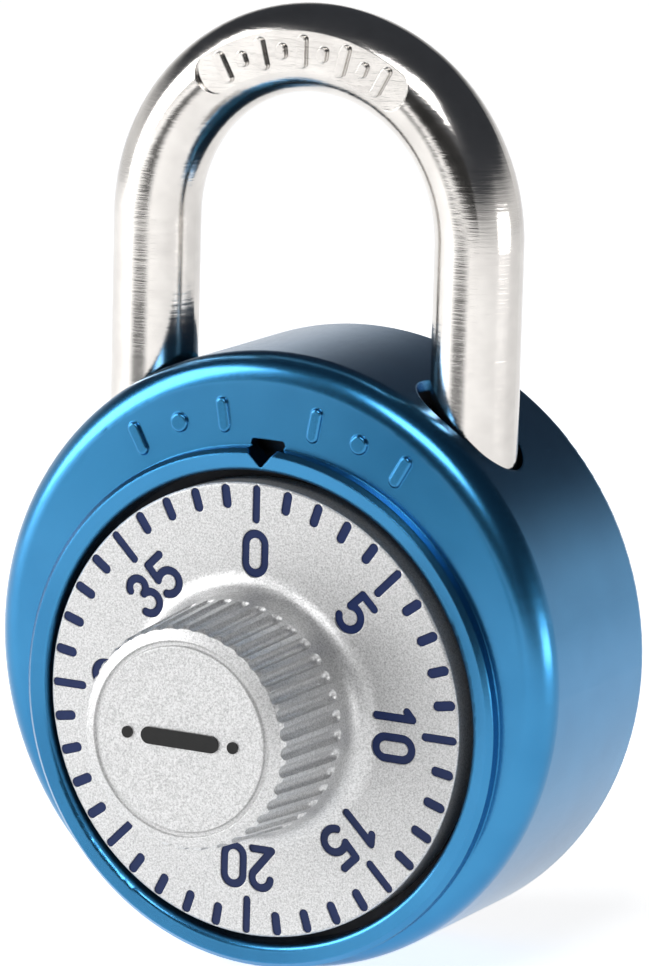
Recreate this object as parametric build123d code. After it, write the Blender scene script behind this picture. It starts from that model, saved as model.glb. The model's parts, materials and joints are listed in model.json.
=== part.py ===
"""Dial combination padlock, 48 mm round case, closed shackle.

Every function works lying down: x to the right, y up towards the shackle, and z out
of the back face towards the dial. save() stands the piece up, so the row frame has +Z up,
the dial facing -Y and its origin at the centre of the back face.
"""
from build123d import *
from math import cos, radians, sin
import os

# ---- driving dimensions, mm ----
CASE_R = 24.0            # outer radius of the case
FRONT_Z = 17.35          # outer edge of the cover's front
COVER_T = 0.8            # cover sheet
CROWNING = 0.7           # the front rises by this to the case axis
SHOULDER_R = 2.2         # rounded edge between side and front
ROLLED_R = 22.5          # inner edge of the rolled rear rim
DIAL_Y = -3.2            # the dial axis sits below the case axis
DIAL_R = 17.65
DIAL_Z = 19.1            # dial face
DIAL_T = 1.85
LIP_R = 18.45            # opening in the cover
LIP_W = 1.75             # width of the rolled bead round it
LIP_Z = 18.75            # crest of the bead
EMBOSS_R = 22.6          # raised marks, from the dial axis
INNER_R = 23.15          # steel inner case
INNER_T = 0.9
INNER_FRONT_Z = 15.7
BACK_T = 1.2
BACK_STEP = 0.8          # the back plate's middle stands out by this
KNOB_Z = 30.1            # knob face
KNOB_R = 8.6             # knob at its front edge
KNOB_BASE_R = 9.2        # knob above its base fillet
KNOB_FLUTES = 38
FLUTE_R = 0.52
FLUTE_OUT = 0.02         # the flutes' centres stand off the knob by this
TICKS = 40
MARK_DEPTH = 0.3
TICK_IN = (15.65, 14.55)   # inner end of a short and of a long graduation
TICK_W = (0.78, 0.66)    # width of a short and of a long graduation
TICK_EDGE = 0.12         # graduations stop this far inside the dial's edge
PAINT_GAP = 0.1          # paint lies this far below the dial face
STROKE = 0.66            # width of the figures' strokes
FIGURE_H = 3.7
FIGURE_R = 12.25         # radius of the figures' middle
BAR_R = 3.4              # shackle bar
LEG_X = 13.9
LEG_Z = 10.6
CROWN_Y = 32.8           # centre of the crown's bend
TOE_Y = 9.5              # free end of the short leg
HEEL_Y = -13.2           # end of the long leg
NECK_R = 2.5             # the long leg's neck, behind its foot
LIFT = 12.5              # shackle travel
HOLE_GAP = 0.4
POST_R = 2.5             # wheel post
SPINDLE_R = 2.0
RUN = 0.05               # radial running clearance
WHEEL_R = 9.8
TAB_R = (5.4, 6.9)
TAB_DEG = 14.0
PIVOT = (14.8, -11.6)    # lever pivot
PAWL_PIN = (6.9, 8.9)
PIN_R = 1.0
PIVOT_R = 1.5


def save(shape, name):
    """Stands a piece up and writes it to its own file."""
    export_step(Rot(90, 0, 0) * shape, f"parts/{name}.step")


def disc(r, z0, z1, x=0.0, y=0.0):
    """A round solid along z from z0 to z1."""
    return Pos(x, y, z0) * Cylinder(r, z1 - z0, align=(Align.CENTER, Align.CENTER, Align.MIN))


def ring(r_in, r_out, z0, z1, x=0.0, y=0.0):
    return disc(r_out, z0, z1, x, y) - disc(r_in, z0 - 1, z1 + 1, x, y)


def block(x0, x1, y0, y1, z0, z1):
    corner = (Align.MIN, Align.MIN, Align.MIN)
    return Pos(x0, y0, z0) * Box(x1 - x0, y1 - y0, z1 - z0, align=corner)


def prism(points, z0, z1):
    """A straight-sided solid over a closed outline."""
    return Pos(0, 0, z0) * extrude(make_face(Polyline(*points, close=True)), z1 - z0)


def spun(*edges):
    """Turns an outline in the x-z plane once round the z axis."""
    return revolve(make_face(Wire(edges)), Axis.Z, 360)


def corners(*points):
    """Straight edges through (radius, height) points, not closed."""
    spots = [(r, 0, z) for r, z in points]
    return [Line(a, b) for a, b in zip(spots, spots[1:])]


def quarter(cx, cz, r, start):
    """Convex quarter round in the x-z plane, running 90 degrees clockwise from its start angle."""
    ends = [radians(start - step) for step in (0, 45, 90)]
    return ThreePointArc(*((cx + r * cos(a), 0, cz + r * sin(a)) for a in ends))


def turned(*points):
    return spun(*corners(*points, points[0]))


def bar_holes(gap):
    """The two legs' passages through the top of the case, a little wider towards the middle."""
    holes = []
    for side in (-1, 1):
        slot = SlotCenterToCenter(0.7, 2 * (BAR_R + gap))
        way = Pos(side * (LEG_X - 0.35), 5, LEG_Z) * Rot(-90, 0, 0) * extrude(slot, 30)
        holes.append(way)
    return holes


def index_hole(z0, z1):
    """Inverted triangle with rounded corners above the dial's top."""
    half, top, tip = 1.15, 17.25, 15.75
    outline = make_hull(
        (Pos(-half, top) * Circle(0.32)).edges()
        + (Pos(half, top) * Circle(0.32)).edges()
        + (Pos(0, tip) * Circle(0.16)).edges()
    )
    return Pos(0, 0, z0) * extrude(outline, z1 - z0)


def cover_shell():
    """Drawn cup: side, rounded shoulder and front, with the rear edge rolled over the back plate."""
    r, z, s = CASE_R, FRONT_Z, SHOULDER_R
    ri, zi, si = r - COVER_T, z - COVER_T, s - COVER_T
    edge = 0.7
    path = corners((0, z + CROWNING), (r - s, z))
    path.append(quarter(r - s, z - s, s, 90))
    path += corners((r, z - s), (r, edge))
    path.append(quarter(r - edge, edge, edge, 0))
    path += corners((r - edge, 0), (ROLLED_R, 0), (ROLLED_R, BACK_STEP), (ri, BACK_STEP), (ri, zi - si))
    path.append(quarter(ri - si, zi - si, si, 90))
    path += corners((ri - si, zi), (0, zi), (0, z + CROWNING))
    return spun(*path)


def cover_bead():
    """Rolled lip round the dial opening, turned down onto the inner case."""
    r0, r1, z = LIP_R, LIP_R + LIP_W, LIP_Z
    roll, fall, slope = 0.5, 0.12, 0.4
    under = FRONT_Z - COVER_T
    path = corners((r0, INNER_FRONT_Z), (r0, z - fall - roll))
    path.append(quarter(r0 + roll, z - fall - roll, roll, 180))
    path += corners((r0 + roll, z - fall), (r1 - slope, z), (r1, z - slope), (r1, under))
    path += corners((r1, under), (r0 + COVER_T, under), (r0 + COVER_T, INNER_FRONT_Z), (r0, INNER_FRONT_Z))
    return Pos(0, DIAL_Y, 0) * spun(*path)


def raised_marks():
    """Plain bars and round dots in turn, on an arc over the index hole."""
    studs = []
    for angle in (-30, -20, -10, 10, 20, 30):
        outline = SlotOverall(2.7, 1.0) if angle % 20 else Circle(0.75)
        stud = extrude(outline, 0.65)
        stud = fillet(stud.edges().group_by(Axis.Z)[-1], 0.2)
        spot = Pos(0, DIAL_Y, FRONT_Z - 0.3) * Rot(0, 0, angle) * Pos(0, EMBOSS_R, 0)
        studs.append(spot * Rot(0, 0, 90) * stud)
    return studs


def front_cover():
    body = cover_shell() - disc(LIP_R + COVER_T / 2, 15, 19, 0, DIAL_Y) + cover_bead()
    body += raised_marks()
    body -= bar_holes(HOLE_GAP)
    return body - index_hole(14, 20)


def inner_case():
    """Steel cup inside the cover, closed by the back plate."""
    r, z0, z1 = INNER_R, BACK_STEP + BACK_T, INNER_FRONT_Z
    cup = disc(r, z0, z1) - disc(r - INNER_T, z0 - 1, z1 - 1.0)
    cup = fillet(cup.edges().filter_by(GeomType.CIRCLE).group_by(Axis.Z)[-1], 0.8)
    cup -= disc(3.1, 14, 17, 0, DIAL_Y)
    return cup - bar_holes(HOLE_GAP + 0.3)


def back_plate():
    """Pressed plate: the middle stands out to the back face, the rim sits under the rolled edge."""
    t, s, r = BACK_T, BACK_STEP, INNER_R
    return turned((0, 0), (21.4, 0), (22.1, s), (r, s), (r, s + t), (21.2, s + t), (20.5, t), (0, t))


def dial_bushing():
    return ring(SPINDLE_R + RUN, 3.1, 14.0, INNER_FRONT_Z, 0, DIAL_Y) + ring(3.0, 4.3, 14.0, 14.7, 0, DIAL_Y)


def knob_profile():
    """Dial disc and knob in one outline, radius against height."""
    zb = DIAL_Z - DIAL_T
    f = 1.9
    skirt_r, skirt_z = DIAL_R - 1.2, INNER_FRONT_Z + 0.3
    path = corners((0, zb - 0.55), (4.4, zb - 0.55), (4.4, zb), (skirt_r, zb), (skirt_r, skirt_z))
    path += corners((skirt_r, skirt_z), (DIAL_R, skirt_z), (DIAL_R, DIAL_Z - 0.15), (DIAL_R - 0.15, DIAL_Z))
    path += corners((DIAL_R - 0.15, DIAL_Z), (KNOB_BASE_R + f, DIAL_Z))
    path.append(quarter(KNOB_BASE_R + f, DIAL_Z + f, f, 270))
    path += corners((KNOB_BASE_R, DIAL_Z + f), (KNOB_R, KNOB_Z - 0.75), (KNOB_R - 0.25, KNOB_Z - 0.4))
    groove = KNOB_Z - 0.25
    path += corners((KNOB_R - 0.25, KNOB_Z - 0.4), (7.5, KNOB_Z - 0.05), (7.4, groove), (7.15, groove))
    path += corners((7.15, groove), (7.05, KNOB_Z), (0, KNOB_Z), (0, zb - 0.55))
    return path


def knob_flutes():
    """Round-ended grooves along the knob's side."""
    z0, z1 = DIAL_Z + 3.15, KNOB_Z - 0.75
    r = FLUTE_R
    rim = KNOB_BASE_R + FLUTE_OUT
    lean = (KNOB_BASE_R - KNOB_R) * 0.85
    flutes = []
    for i in range(KNOB_FLUTES):
        a = radians(360 * i / KNOB_FLUTES)
        low = Vector(rim * cos(a), rim * sin(a), z0)
        high = Vector((rim - lean) * cos(a), (rim - lean) * sin(a), z1)
        axis = Plane(low, z_dir=high - low)
        rod = axis * disc(r, 0, (high - low).length)
        flutes.append(rod + Pos(low) * Sphere(r) + Pos(high) * Sphere(r))
    return flutes


def tick(i):
    """Outline of one graduation: every fifth is long."""
    kind = int(i % 5 == 0)
    r_in = TICK_IN[kind]
    r_out = DIAL_R - TICK_EDGE
    mark = SlotOverall(r_out - r_in, TICK_W[kind])
    return Rot(0, 0, 90 - 360 * i / TICKS) * Pos((r_in + r_out) / 2, 0) * mark


def figure_strokes(digit):
    """Centre lines of one figure, one unit high and 0.58 wide, about its own middle."""
    w, h = 0.27, 0.5
    if digit == "0":
        top = ThreePointArc((-w, h - w), (0, h), (w, h - w))
        low = ThreePointArc((w, -h + w), (0, -h), (-w, -h + w))
        return [top, Line((w, h - w), (w, -h + w)), low, Line((-w, -h + w), (-w, h - w))]
    if digit == "1":
        return [Line((0.02, h), (0.02, -h)), Line((0.02, h), (-0.16, h - 0.16))]
    if digit == "2":
        bow = ThreePointArc((-w + 0.02, 0.27), (0.02, h), (w - 0.03, 0.12))
        return [bow, Line((w - 0.03, 0.12), (-w, -h)), Line((-w, -h), (w, -h))]
    if digit == "3":
        upper = ThreePointArc((-w + 0.02, 0.34), (0.15, 0.42), (0, 0.05))
        lower = ThreePointArc((0, 0.05), (w, -0.24), (-w, -0.32))
        return [upper, lower]
    bowl = ThreePointArc((-w + 0.04, 0.04), (w + 0.01, -0.17), (-w, -0.36))
    return [Line((w - 0.03, h), (-w + 0.06, h)), Line((-w + 0.06, h), (-w + 0.04, 0.04)), bowl]


def figure(text):
    """Flat outline of a number, tops outward, in the middle of its own axes."""
    pitch = 0.66
    shape = Sketch()
    for n, digit in enumerate(text):
        shift = (n - (len(text) - 1) / 2) * pitch * FIGURE_H
        for stroke in figure_strokes(digit):
            drawn = Pos(shift, 0) * stroke.scale(FIGURE_H - STROKE)
            band = SlotArc(drawn, STROKE) if drawn.geom_type == GeomType.CIRCLE else stroke_bar(drawn)
            shape += band
    return shape


def stroke_bar(line):
    """A straight stroke with round ends."""
    a, b = line @ 0, line @ 1
    ends = (Pos(a) * Circle(STROKE / 2)).edges() + (Pos(b) * Circle(STROKE / 2)).edges()
    return make_hull(ends)


def dial_marks(z0, z1):
    """Graduations and figures as solids between two heights."""
    marks = [Pos(0, 0, z0) * extrude(tick(i), z1 - z0) for i in range(TICKS)]
    for i in range(0, TICKS, 5):
        flat = Rot(0, 0, -360 * i / TICKS) * Pos(0, FIGURE_R) * figure(str(i))
        marks.append(Pos(0, 0, z0) * extrude(flat, z1 - z0))
    return [Pos(0, DIAL_Y, 0) * m for m in marks]


def dial():
    """Cast dial and knob, bored for the spindle and engraved."""
    body = Pos(0, DIAL_Y, 0) * (spun(*knob_profile()) - knob_flutes())
    body -= disc(SPINDLE_R, 10, 24, 0, DIAL_Y)
    return body - dial_marks(DIAL_Z - MARK_DEPTH, DIAL_Z + 1)


def dial_markings():
    return Compound([s for m in dial_marks(DIAL_Z - MARK_DEPTH, DIAL_Z - PAINT_GAP) for s in m.solids()])


def knob_mark():
    """Plain raised badge on the knob: a long bar between two dots."""
    bar = extrude(SlotOverall(6.6, 1.3), 0.15)
    dots = [disc(0.45, 0, 0.15, x) for x in (-4.5, 4.5)]
    return Compound([(Pos(0, DIAL_Y, KNOB_Z) * s).solid() for s in [bar] + dots])


def dial_spindle():
    rod = disc(SPINDLE_R, 11.0, 24, 0, DIAL_Y)
    return rod - ring(1.6, 2.5, 11.5, 12.1, 0, DIAL_Y)


def spindle_clip():
    """Spring clip in the spindle's groove, open to one side."""
    clip = ring(1.6, 3.5, 11.52, 12.08, 0, DIAL_Y)
    return clip - block(-0.9, 0.9, DIAL_Y - 5, DIAL_Y - 0.5, 11, 13)


def wheel(bore, z0, z1, turn):
    """Combination wheel with one gate in its rim."""
    body = ring(bore, WHEEL_R, z0, z1)
    gate = block(-1.3, 1.3, WHEEL_R - 2.3, WHEEL_R + 1, z0 - 1, z1 + 1)
    holes = [Rot(0, 0, a) * disc(0.8, z0 - 1, z1 + 1, 0, 3.9) for a in (90, 210, 330)]
    return Rot(0, 0, turn) * (body - gate - holes)


def tab(angle, z0, z1):
    """Pick-up tab: a short sector that stands on a wheel."""
    sector = ring(TAB_R[0], TAB_R[1], z0, z1)
    far = 12
    a0, a1 = radians(angle - TAB_DEG / 2), radians(angle + TAB_DEG / 2)
    wedge = prism([(0, 0), (far * cos(a0), far * sin(a0)), (far * cos(a1), far * sin(a1))], z0, z1)
    return sector & wedge


def drive_cam():
    body = wheel(SPINDLE_R, 12.3, 13.6, -40) + tab(90, 9.1, 12.3)
    return Pos(0, DIAL_Y, 0) * body


def middle_wheel():
    body = wheel(POST_R + RUN, 7.6, 8.6, 70)
    body += tab(90 - TAB_DEG - 0.6, 8.6, 11.9)
    body += tab(150, 6.0, 7.6)
    return Pos(0, DIAL_Y, 0) * body


def rear_wheel():
    body = wheel(POST_R + RUN, 4.3, 5.3, 160) + tab(150 - TAB_DEG - 0.6, 5.3, 7.2)
    return Pos(0, DIAL_Y, 0) * body


def wheel_post():
    """Headed post on the back plate that carries the wheels."""
    post = disc(POST_R, BACK_T, 10.6, 0, DIAL_Y) + disc(5.0, BACK_T, 2.0, 0, DIAL_Y)
    return post - ring(2.0, 3.0, 9.3, 9.9, 0, DIAL_Y)


def wheel_spacers():
    """Fixed distance rings between the wheels."""
    levels = ((3.2, 4.2), (5.4, 7.5), (8.7, 9.25))
    return Compound([ring(POST_R, 4.6, a, b, 0, DIAL_Y).solid() for a, b in levels])


def pack_spring():
    """Wave washer that loads the wheel pack, shown pressed flat."""
    return ring(2.7, 4.5, 2.15, 3.05, 0, DIAL_Y) - ring(3.2, 4.0, 2.4, 2.8, 0, DIAL_Y)


def post_clip():
    clip = ring(2.0, 4.0, 9.32, 9.88, 0, DIAL_Y)
    return clip - block(-1.1, 1.1, DIAL_Y - 5, DIAL_Y - 0.5, 9, 10)


def hull_plate(spots, z0, z1):
    """Plate whose outline wraps round circles, one pair at a time."""
    plate = None
    for (x0, y0, r0), (x1, y1, r1) in zip(spots, spots[1:]):
        both = (Pos(x0, y0) * Circle(r0)).edges() + (Pos(x1, y1) * Circle(r1)).edges()
        piece = Pos(0, 0, z0) * extrude(make_hull(both), z1 - z0)
        plate = piece if plate is None else plate + piece
    return plate


def lever():
    """Locking lever behind the wheels, from its pivot up to the pawl."""
    plate = hull_plate([(*PIVOT, 3.0), (13.2, -3.2, 2.8), (*PAWL_PIN, 2.4)], 2.3, 3.8)
    plate -= disc(PIVOT_R + RUN, 0, 9, *PIVOT)
    return plate - disc(PIN_R, 0, 9, *PAWL_PIN)


def fence():
    """Bar on the lever that drops into the wheels' gates."""
    return block(10.35, 12.0, DIAL_Y - 1.0, DIAL_Y + 1.0, 3.8, 13.5)


def lever_pivot():
    return disc(PIVOT_R, BACK_T, 8.2, *PIVOT) + disc(2.6, 7.6, 8.4, *PIVOT)


def coil(r, wire, z0, z1, pitch, x, y):
    """Close-wound torsion spring."""
    path = Helix(pitch, z1 - z0, r)
    start = Plane(path @ 0, z_dir=path % 0)
    turns = sweep(start * Circle(wire), path=path, is_frenet=True)
    return Pos(x, y, z0) * turns


def pawl_pin():
    return disc(PIN_R, 2.3, 13.2, *PAWL_PIN)


def pawl():
    """Sprung nose that stands in the shackle's notch."""
    tip = (10.92, 12.92)
    both = (Pos(*PAWL_PIN) * Circle(1.8)).edges() + (Pos(*tip) * Circle(0.45)).edges()
    body = Pos(0, 0, 8.9) * extrude(make_hull(both), 3.4)
    return body - disc(PIN_R + RUN, 8, 13, *PAWL_PIN)


def shackle_retainer():
    """Bracket whose slot holds the long leg's neck and stops its foot."""
    plate = block(-20.4, -10.3, 0.8, 2.0, 1.3, 14.0)
    slot = disc(2.7, -1, 1.2) + block(-10, 0, -2.7, 2.7, -1, 1.2)
    way = Pos(-LEG_X, 2.0, LEG_Z) * Rot(90, 0, 0) * slot
    foot = block(-20.4, -10.3, -3.0, 0.8, 1.3, 2.3)
    return plate - way + foot


def leg(x, y0, y1, r=BAR_R):
    return Pos(x, y0, LEG_Z) * Rot(-90, 0, 0) * disc(r, 0, y1 - y0)


def crown():
    """Half ring over the two legs."""
    section = Plane.XZ * Pos(LEG_X, 0) * Circle(BAR_R)
    half = revolve(section, Axis.Z, 180)
    return Pos(0, CROWN_Y, LEG_Z) * half


def crown_stamp():
    """Sunk band on the crown's face, as the tool that leaves it."""
    z0 = LEG_Z + BAR_R - 0.4
    z1 = z0 + 2
    half, reach, far = 1.7, 32, 40
    band = ring(LEG_X - half, LEG_X + half, z0, z1, 0, CROWN_Y)
    across, along = sin(radians(reach)), cos(radians(reach))
    top = CROWN_Y + far * along
    wedge = prism([(0, CROWN_Y), (far * across, top), (-far * across, top)], z0, z1)
    ends = [disc(half, z0, z1, x * across, CROWN_Y + LEG_X * along) for x in (-LEG_X, LEG_X)]
    return (band & wedge) + ends


def crown_bars():
    """Plain raised bars in the sunk band."""
    bars = []
    for k in range(9):
        angle = -29 + 7.25 * k
        length = 2.5 if k % 2 == 0 else 1.2
        flat = Rot(0, 0, angle) * Pos(0, LEG_X) * Rot(0, 0, 90) * SlotOverall(length, 0.7)
        bars.append(Pos(0, CROWN_Y, LEG_Z + BAR_R - 0.9) * extrude(flat, 0.85))
    return bars


def shackle():
    """Hardened bar: long leg with neck and foot, short leg with the pawl's notch."""
    neck_top, foot_top = 2.4, -11.8
    heel = leg(-LEG_X, neck_top, CROWN_Y) + leg(-LEG_X, HEEL_Y, foot_top)
    heel += leg(-LEG_X, foot_top, neck_top, NECK_R)
    toe = chamfer(leg(LEG_X, TOE_Y, CROWN_Y).edges().group_by(Axis.Y)[0], 0.5)
    notch = prism([(9, 10.0), (10.5, 10.75), (11.65, 12.3), (11.65, 14.2), (10.5, 15.0), (9, 15.0)], 5, 16)
    body = heel + (toe - notch) + crown()
    return body - crown_stamp() + crown_bars()


PIECES = {
    "front_cover": front_cover,
    "inner_case": inner_case,
    "back_plate": back_plate,
    "dial_bushing": dial_bushing,
    "thrust_washer": lambda: ring(SPINDLE_R + 0.1, 4.3, INNER_FRONT_Z, 16.6, 0, DIAL_Y),
    "dial": dial,
    "dial_markings": dial_markings,
    "knob_mark": knob_mark,
    "dial_spindle": dial_spindle,
    "spindle_clip": spindle_clip,
    "drive_cam": drive_cam,
    "middle_wheel": middle_wheel,
    "rear_wheel": rear_wheel,
    "wheel_post": wheel_post,
    "wheel_spacers": wheel_spacers,
    "pack_spring": pack_spring,
    "post_clip": post_clip,
    "lever": lever,
    "fence": fence,
    "lever_pivot": lever_pivot,
    "lever_spring": lambda: coil(2.0, 0.3, 4.3, 7.1, 0.75, *PIVOT),
    "pawl": pawl,
    "pawl_pin": pawl_pin,
    "pawl_spring": lambda: coil(1.45, 0.25, 4.3, 8.3, 0.6, *PAWL_PIN),
    "shackle_retainer": shackle_retainer,
    "shackle": shackle,
}

os.makedirs("parts", exist_ok=True)
for piece_name, make in PIECES.items():
    save(make(), piece_name)
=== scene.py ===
"""Studio picture of the combination padlock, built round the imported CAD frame."""
import json
import math

import bpy
from mathutils import Matrix, Vector


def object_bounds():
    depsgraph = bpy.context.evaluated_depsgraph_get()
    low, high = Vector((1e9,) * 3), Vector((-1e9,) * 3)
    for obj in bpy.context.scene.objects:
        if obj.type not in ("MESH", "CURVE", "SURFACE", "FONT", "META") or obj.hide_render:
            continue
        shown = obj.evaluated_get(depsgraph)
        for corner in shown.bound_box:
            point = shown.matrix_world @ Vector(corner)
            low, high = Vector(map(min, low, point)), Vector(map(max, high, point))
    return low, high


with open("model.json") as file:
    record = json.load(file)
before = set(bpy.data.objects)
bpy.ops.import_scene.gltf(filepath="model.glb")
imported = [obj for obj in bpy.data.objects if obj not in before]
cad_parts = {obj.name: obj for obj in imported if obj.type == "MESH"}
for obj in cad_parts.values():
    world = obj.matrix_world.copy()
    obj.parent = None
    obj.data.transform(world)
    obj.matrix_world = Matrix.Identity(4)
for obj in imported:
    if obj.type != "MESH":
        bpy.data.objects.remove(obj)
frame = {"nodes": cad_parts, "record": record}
CAD_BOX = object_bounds()

# ---- where the camera stands, metres and degrees ----
CAMERA_PLACE = Vector((0.2094, -0.4040, 0.1029))
CAMERA_AZIMUTH = 27.88
CAMERA_ELEVATION = 11.39
CAMERA_ROLL = 1.52
CAMERA_LENS = 220.6
SENSOR = 36.0

# ---- studio ----
WORLD_BRIGHT_TO = 0.12      # top of the bright band, as the sine of its elevation
WORLD_DARK_FROM = 0.36      # above this the surround is dark
WORLD_DARK = (0.05, 0.055, 0.065, 1)
WORLD_STRENGTH = 1.0
WORLD_FRONT_DIP = 0.25      # the bright band is this much lower in front
FLOOR_GLOW = 0.80           # a lit floor, as under a light table
SHADE_PLACE = (-0.085, -0.27, 0)    # dark patch of floor that the front mirrors
SHADE_RADIUS = (0.07, 0.125)

FLOOR_SIZE = 6
FLOOR_DROP = 0.0002         # the floor is this far below the lowest point of the part
FLAG_PLACE = (0.0, -0.62, 0.13)
FLAG_SIZE = (0.60, 0.26, 1)
AIM = Vector((0, -0.01, 0.012))
SOFTBOXES = {               # place, width and height, watts
    "key_left": ((-0.60, -0.45, 0.30), (0.40, 0.60), 6),
    "front_fill": ((0.10, -0.50, 0.45), (0.30, 0.20), 2),
    "right_low": ((0.75, 0.05, -0.01), (0.45, 0.20), 2),
}

# ---- colours, linear ----
BLUE = (0.036, 0.195, 0.385, 1)
BLUE_DEEP = (0.026, 0.160, 0.330, 1)
SILVER = (0.60, 0.60, 0.60, 1)
SILVER_DARK = (0.34, 0.34, 0.34, 1)
NAVY = (0.008, 0.018, 0.075, 1)
BLACK = (0.012, 0.012, 0.012, 1)
NICKEL = (0.60, 0.577, 0.55, 1)
NICKEL_DULL = (0.53, 0.507, 0.483, 1)
STEEL = (0.52, 0.52, 0.53, 1)
# near-black for the inner case, painted shade: it stands for the shadow in the gap between cover lip
# and dial
INNER_SHADE_BLACK = (0.035, 0.035, 0.038, 1)
ZINC = (0.60, 0.60, 0.58, 1)
SPRING = (0.28, 0.28, 0.29, 1)
BRASS = (0.72, 0.50, 0.20, 1)
WHITE = (1, 1, 1, 1)
FLOOR_WHITE = (0.93, 0.93, 0.93, 1)
FLOOR_SHADE = (0.01, 0.01, 0.012, 1)


# ---------------------------------------------------------------- materials
class Nodes:
    """Small helper that adds and links shader nodes."""

    def __init__(self, name):
        self.material = bpy.data.materials.new(name)
        self.material.use_nodes = True
        self.tree = self.material.node_tree
        self.surface = self.tree.nodes["Principled BSDF"]
        self.place = self.add("ShaderNodeTexCoord").outputs["Object"]

    def add(self, kind, **inputs):
        node = self.tree.nodes.new(kind)
        for key, value in inputs.items():
            node.inputs[key].default_value = value
        return node

    def link(self, out, target):
        self.tree.links.new(out, target)

    def noise(self, scale, detail=4.0, rough=0.6, vector=None):
        node = self.add("ShaderNodeTexNoise", Scale=scale, Detail=detail, Roughness=rough)
        self.link(vector or self.place, node.inputs["Vector"])
        return node.outputs["Fac"]

    def stretched(self, x, y, z):
        node = self.add("ShaderNodeMapping")
        node.inputs["Scale"].default_value = (x, y, z)
        self.link(self.place, node.inputs["Vector"])
        return node.outputs["Vector"]

    def ramp(self, source, low, high, start=0.0, end=1.0):
        node = self.add("ShaderNodeValToRGB")
        node.color_ramp.elements[0].position = start
        node.color_ramp.elements[0].color = low
        node.color_ramp.elements[1].position = end
        node.color_ramp.elements[1].color = high
        self.link(source, node.inputs["Fac"])
        return node.outputs["Color"]

    def span(self, source, low, high):
        node = self.add("ShaderNodeMapRange")
        node.inputs["To Min"].default_value = low
        node.inputs["To Max"].default_value = high
        self.link(source, node.inputs["Value"])
        return node.outputs["Result"]

    def soft_edges(self, radius):
        """Rounds the look of sharp edges."""
        return self.add("ShaderNodeBevel", Radius=radius).outputs["Normal"]

    def bump(self, height, distance, strength=1.0, after=None):
        node = self.add("ShaderNodeBump", Strength=strength, Distance=distance)
        self.link(height, node.inputs["Height"])
        if after:
            self.link(after, node.inputs["Normal"])
        return node.outputs["Normal"]

    def finish(self, colour, rough, normal, **fixed):
        self.link(colour, self.surface.inputs["Base Color"])
        self.link(rough, self.surface.inputs["Roughness"])
        self.link(normal, self.surface.inputs["Normal"])
        for key, value in fixed.items():
            self.surface.inputs[key.replace("_", " ")].default_value = value
        return self.material


def darker(colour, part):
    return tuple(c * part for c in colour[:3]) + (1,)


def anodised_blue():
    """Dyed anodised sheet: clear gloss over a faint drawn grain."""
    n = Nodes("anodised_blue")
    cloud = n.noise(90, 3)
    grain = n.noise(1.0, 3, 0.7, n.stretched(5000, 900, 5000))
    colour = n.ramp(cloud, BLUE_DEEP, BLUE, 0.25, 0.6)
    rough = n.span(grain, 0.20, 0.30)
    drawn = n.bump(grain, 0.000006, 0.4, n.soft_edges(0.00018))
    normal = n.bump(n.noise(230, 2), 0.00003, 0.25, drawn)
    return n.finish(colour, rough, normal, Metallic=1.0, Coat_Weight=0.2, Coat_Roughness=0.12)


def cast_silver():
    """Satin lacquered casting with the sparkle of its fine grain."""
    n = Nodes("cast_silver")
    fine = n.noise(6500, 2, 0.8)
    middle = n.noise(2200, 3, 0.7)
    colour = n.ramp(fine, SILVER_DARK, SILVER, 0.32, 0.62)
    rough = n.span(middle, 0.34, 0.55)
    coarse = n.bump(middle, 0.00003, 0.35, n.soft_edges(0.00016))
    normal = n.bump(fine, 0.00003, 0.6, coarse)
    return n.finish(colour, rough, normal, Metallic=0.82)


def nickel_plate():
    """Plated bar: mirror-like, with faint rings left across it by grinding."""
    n = Nodes("nickel_plate")
    rings = n.noise(1.0, 3, 0.65, n.stretched(260, 260, 3600))
    soft = n.noise(420, 2)
    colour = n.ramp(soft, NICKEL_DULL, NICKEL, 0.3, 0.7)
    rough = n.span(rings, 0.10, 0.20)
    wavy = n.bump(soft, 0.00003, 0.25, n.soft_edges(0.00015))
    normal = n.bump(rings, 0.00003, 0.35, wavy)
    return n.finish(colour, rough, normal, Metallic=1.0)


def paint(name, colour, rough):
    """Thick fill paint with a slightly uneven skin."""
    n = Nodes(name)
    skin = n.noise(1800, 2)
    mixed = n.ramp(skin, darker(colour, 0.75), colour)
    normal = n.bump(skin, 0.00004, 0.4)
    return n.finish(mixed, n.span(skin, rough, rough + 0.12), normal, Specular_IOR_Level=0.2)


def worked_metal(name, colour, rough, brushed=(1, 1, 1)):
    """Pressed, turned or cast metal with grain along one direction."""
    n = Nodes(name)
    grain = n.noise(1.0, 4, 0.7, n.stretched(*(900 * b for b in brushed)))
    blotch = n.noise(160, 3)
    mixed = n.ramp(blotch, darker(colour, 0.72), colour, 0.25, 0.65)
    normal = n.bump(grain, 0.00002, 0.5)
    return n.finish(mixed, n.span(grain, rough, rough + 0.16), normal, Metallic=1.0)


def matte_floor():
    """Glowing white floor with one dark patch in front, to the left."""
    n = Nodes("studio_floor")
    mottle = n.noise(8, 2)
    away = n.add("ShaderNodeVectorMath")
    away.operation = "DISTANCE"
    away.inputs[1].default_value = SHADE_PLACE
    n.link(n.place, away.inputs[0])
    lit = n.add("ShaderNodeMapRange")
    lit.inputs["From Min"].default_value, lit.inputs["From Max"].default_value = SHADE_RADIUS
    lit.inputs["To Max"].default_value = FLOOR_GLOW
    n.link(away.outputs["Value"], lit.inputs["Value"])
    n.link(lit.outputs["Result"], n.surface.inputs["Emission Strength"])
    colour = n.ramp(lit.outputs["Result"], FLOOR_SHADE, FLOOR_WHITE, 0, FLOOR_GLOW)
    normal = n.bump(mottle, 0.0001, 0.1)
    return n.finish(colour, n.span(mottle, 0.85, 0.9), normal, Emission_Color=WHITE)


def dress(materials):
    """Gives every CAD node the material of its record slot."""
    for entry in frame["record"]["subparts"]:
        node = frame["nodes"][entry["node"]]
        node.data.materials.clear()
        node.data.materials.append(materials[entry["material_slot"]])


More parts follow.
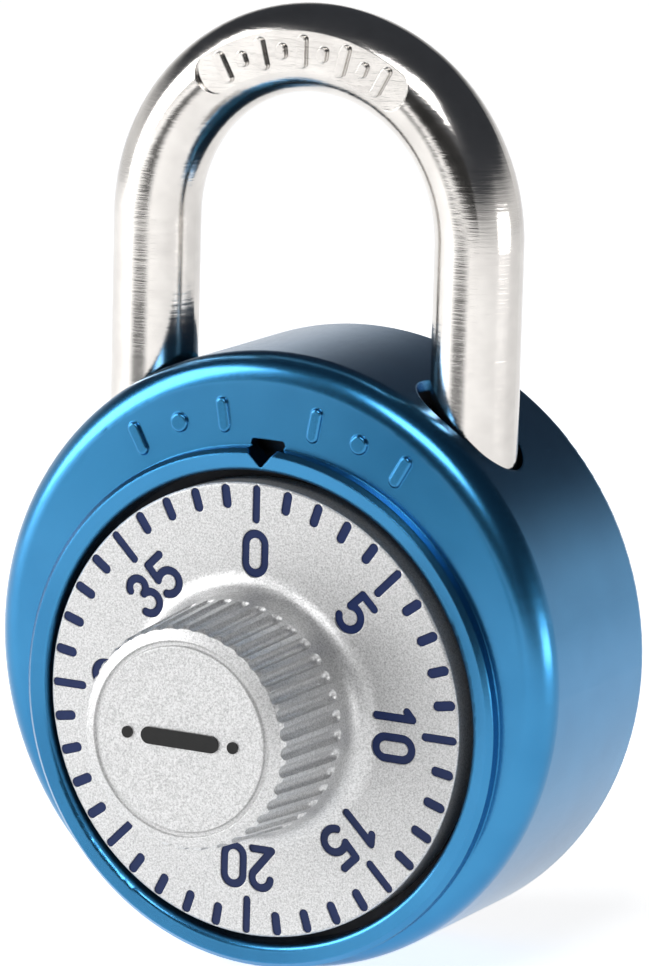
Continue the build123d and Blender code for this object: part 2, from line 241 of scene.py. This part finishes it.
# ---------------------------------------------------------------- studio
def add_camera():
    a, e, roll = (math.radians(v) for v in (CAMERA_AZIMUTH, CAMERA_ELEVATION, CAMERA_ROLL))
    back = Vector((math.sin(a) * math.cos(e), -math.cos(a) * math.cos(e), math.sin(e)))
    right = Vector((math.cos(a), math.sin(a), 0))
    up = back.cross(right)
    x = math.cos(roll) * right + math.sin(roll) * up
    y = -math.sin(roll) * right + math.cos(roll) * up
    data = bpy.data.cameras.new("camera")
    data.lens = CAMERA_LENS
    data.sensor_width = SENSOR
    data.sensor_fit = "AUTO"
    data.clip_start = 0.01
    data.clip_end = 20
    camera = bpy.data.objects.new("camera", data)
    bpy.context.scene.collection.objects.link(camera)
    camera.matrix_world = Matrix.Translation(CAMERA_PLACE) @ Matrix((x, y, back)).transposed().to_4x4()
    bpy.context.scene.camera = camera


def add_floor():
    bpy.ops.mesh.primitive_plane_add(size=FLOOR_SIZE, location=(0, 0, CAD_BOX[0].z - FLOOR_DROP))
    floor = bpy.context.object
    floor.name = "studio_floor"
    floor.data.materials.append(matte_floor())


def add_softbox(name, place, size, power):
    data = bpy.data.lights.new(name, "AREA")
    data.shape = "RECTANGLE"
    data.size, data.size_y = size
    data.energy = power
    light = bpy.data.objects.new(name, data)
    light.location = place
    light.rotation_euler = (AIM - Vector(place)).to_track_quat("-Z", "Y").to_euler()
    bpy.context.scene.collection.objects.link(light)


def add_flag():
    """Black panel behind the camera, so that curved metal has something dark to mirror."""
    bpy.ops.mesh.primitive_plane_add(size=1, location=FLAG_PLACE, rotation=(math.radians(90), 0, 0))
    flag = bpy.context.object
    flag.name = "black_flag"
    flag.scale = FLAG_SIZE
    flag.data.materials.append(paint("flag_cloth", BLACK, 0.9))


def band_height(tree):
    """Height over the horizon, with what is in front counted as higher."""
    where = tree.nodes.new("ShaderNodeTexCoord")
    parts = tree.nodes.new("ShaderNodeSeparateXYZ")
    front, only_front, height = (tree.nodes.new("ShaderNodeMath") for _ in range(3))
    front.operation = "MULTIPLY"
    front.inputs[1].default_value = -WORLD_FRONT_DIP
    only_front.operation = "MAXIMUM"
    only_front.inputs[1].default_value = 0.0
    tree.links.new(where.outputs["Generated"], parts.inputs["Vector"])
    tree.links.new(parts.outputs["Y"], front.inputs[0])
    tree.links.new(front.outputs["Value"], only_front.inputs[0])
    tree.links.new(only_front.outputs["Value"], height.inputs[0])
    tree.links.new(parts.outputs["Z"], height.inputs[1])
    return height.outputs["Value"]


def add_world():
    """White surround near the horizon that falls to a dark ceiling, as in a small studio."""
    world = bpy.data.worlds.new("studio")
    bpy.context.scene.world = world
    world.use_nodes = True
    tree = world.node_tree
    background = tree.nodes["Background"]
    ramp = tree.nodes.new("ShaderNodeValToRGB")
    first, last = ramp.color_ramp.elements
    first.position, first.color = WORLD_BRIGHT_TO, WHITE
    last.position, last.color = WORLD_DARK_FROM, WORLD_DARK
    tree.links.new(band_height(tree), ramp.inputs["Fac"])
    tree.links.new(ramp.outputs["Color"], background.inputs["Color"])
    background.inputs["Strength"].default_value = WORLD_STRENGTH


def main():
    bpy.context.scene.view_settings.view_transform = "Standard"
    dress({
        "blue_cover": anodised_blue(),
        "dial_metal": cast_silver(),
        "marking_paint": paint("navy_paint", NAVY, 0.3),
        "badge_black": paint("black_paint", BLACK, 0.3),
        "shackle_steel": nickel_plate(),
        "case_steel": worked_metal("case_steel", STEEL, 0.28, (1, 1, 6)),
        # the inner case is coloured near-black as painted shade, to darken the gap between cover lip
        # and dial
        "inner_black": worked_metal("inner_black", INNER_SHADE_BLACK, 0.45),
        "inner_steel": worked_metal("inner_steel", STEEL, 0.32, (3, 1, 1)),
        "wheel_zinc": worked_metal("wheel_zinc", ZINC, 0.4),
        "spring_steel": worked_metal("spring_steel", SPRING, 0.3),
        "bush_brass": worked_metal("bush_brass", BRASS, 0.25, (1, 4, 1)),
    })
    add_camera()
    add_floor()
    add_flag()
    add_world()
    for name, settings in SOFTBOXES.items():
        add_softbox(name, *settings)


main()
